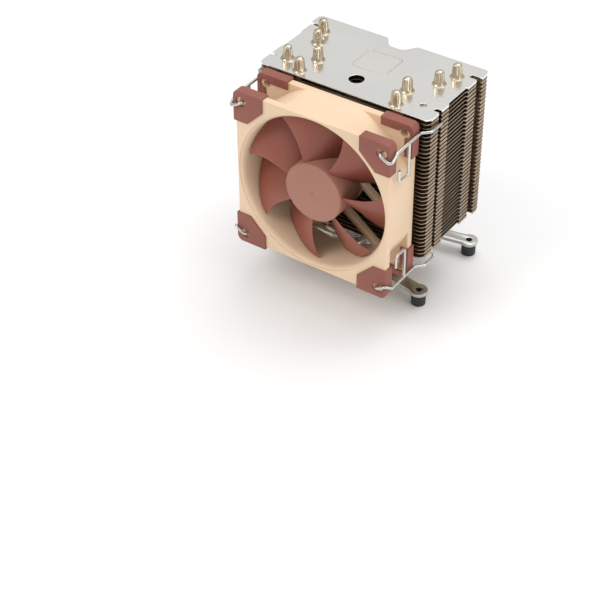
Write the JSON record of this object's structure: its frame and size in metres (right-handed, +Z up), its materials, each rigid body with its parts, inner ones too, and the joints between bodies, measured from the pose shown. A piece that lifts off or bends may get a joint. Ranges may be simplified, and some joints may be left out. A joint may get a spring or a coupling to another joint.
{
  "type": "cpu tower cooler",
  "caption": "Single-tower processor cooler: U-shaped heat pipes carry a plated fin stack with a rear-blowing square fan held by wire clips and spring-loaded captive mounting screws.",
  "frame": {"origin": "centre of the cold plate's contact face, which rests on the processor", "axes": "+Z up out of the board through the fins, +Y the way the air blows from fan to fins, +X to the right seen from the fan's front"},
  "size_m": [0.106, 0.099, 0.1304],
  "materials": {
    "fin_nickel": "nickel-plated sheet, satin",
    "top_nickel": "nickel-plated sheet, satin silver",
    "pipe_nickel": "nickel-plated pipe, warm satin",
    "base_nickel": "nickel-plated copper, fine machined",
    "steel_screw": "nickel-plated screw",
    "spring_steel": "bright spring wire",
    "bar_steel": "nickel-plated steel strip",
    "bush_brass": "nickel-plated brass",
    "spacer_plastic": "moulded plastic",
    "frame_plastic": "beige glass-filled plastic",
    "impeller_plastic": "red-brown plastic, semi-matt",
    "pad_rubber": "red-brown silicone rubber",
    "clip_steel": "bright spring steel wire",
    "yoke_steel": "pressed steel",
    "ferrite": "bonded ferrite magnet",
    "lamination": "stacked electrical steel",
    "copper_wire": "enamelled copper winding",
    "circuit_green": "circuit laminate",
    "bearing_bronze": "sintered bronze"
  },
  "bodies": {
    "root": {"bar_bush_front": "bush_brass", "bar_bush_rear": "bush_brass", "base_cap": "base_nickel", "bearing_sleeve": "bearing_bronze", "board_spacers": "spacer_plastic", "bridge_screws": "steel_screw", "cold_plate": "base_nickel", "cooling_fins": "fin_nickel", "corner_pad_front_bottom_left": "pad_rubber", "corner_pad_front_bottom_right": "pad_rubber", "corner_pad_front_top_left": "pad_rubber", "corner_pad_front_top_right": "pad_rubber", "corner_pad_rear_bottom_left": "pad_rubber", "corner_pad_rear_bottom_right": "pad_rubber", "corner_pad_rear_top_left": "pad_rubber", "corner_pad_rear_top_right": "pad_rubber", "fan_circuit_board": "circuit_green", "fan_flanges": "frame_plastic", "fan_frame": "frame_plastic", "fan_motor_mount": "frame_plastic", "fastening_bridge": "bar_steel", "heat_pipe_1": "pipe_nickel", "heat_pipe_2": "pipe_nickel", "heat_pipe_3": "pipe_nickel", "heat_pipe_4": "pipe_nickel", "heat_pipe_5": "pipe_nickel", "mounting_bar_front": "bar_steel", "mounting_bar_rear": "bar_steel", "screw_spring_front": "spring_steel", "screw_spring_rear": "spring_steel", "stator_core": "lamination", "stator_windings": "copper_wire", "top_fin": "top_nickel"},
    "impeller": {"impeller": "impeller_plastic", "rotor_yoke": "yoke_steel", "rotor_magnet": "ferrite", "rotor_shaft": "steel_screw", "shaft_clip": "spring_steel"},
    "clip_left": {"fan_clip_left": "clip_steel"},
    "clip_right": {"fan_clip_right": "clip_steel"},
    "ring_front": {"retaining_ring_front": "spring_steel"},
    "screw_front": {"captive_screw_front": "steel_screw"},
    "ring_rear": {"retaining_ring_rear": "spring_steel"},
    "screw_rear": {"captive_screw_rear": "steel_screw"}
  },
  "joints": [
    {"name": "impeller_spin", "type": "hinge", "parent": "root", "child": "impeller", "pos_m": [0, -0.054, 0.067], "axis": [0, 1, 0], "continuous": true},
    {"name": "clip_right_swing", "type": "hinge", "parent": "root", "child": "clip_right", "pos_m": [0.04125, -0.0634, 0.067], "axis": [0, 0, -1], "range_deg": [0, 20]},
    {"name": "clip_left_swing", "type": "hinge", "parent": "root", "child": "clip_left", "pos_m": [-0.04125, -0.0634, 0.067], "axis": [0, 0, 1], "range_deg": [0, 20]},
    {"name": "screw_front_lift", "type": "slide", "parent": "root", "child": "ring_front", "axis": [0, 0, 1], "range_m": [0, 0.004], "deforming": ["screw_spring_front"]},
    {"name": "screw_front_turn", "type": "hinge", "parent": "ring_front", "child": "screw_front", "pos_m": [0, -0.0226, 0.01], "axis": [0, 0, 1], "range_deg": [0, 2880]},
    {"name": "screw_rear_lift", "type": "slide", "parent": "root", "child": "ring_rear", "axis": [0, 0, 1], "range_m": [0, 0.004], "deforming": ["screw_spring_rear"]},
    {"name": "screw_rear_turn", "type": "hinge", "parent": "ring_rear", "child": "screw_rear", "pos_m": [0, 0.0226, 0.01], "axis": [0, 0, 1], "range_deg": [0, 2880]}
  ],
  "couplings": [
    {"joint": "screw_front_turn", "follows": "screw_front_lift", "rad_per_m": 12566},
    {"joint": "screw_rear_turn", "follows": "screw_rear_lift", "rad_per_m": 12566}
  ]
}
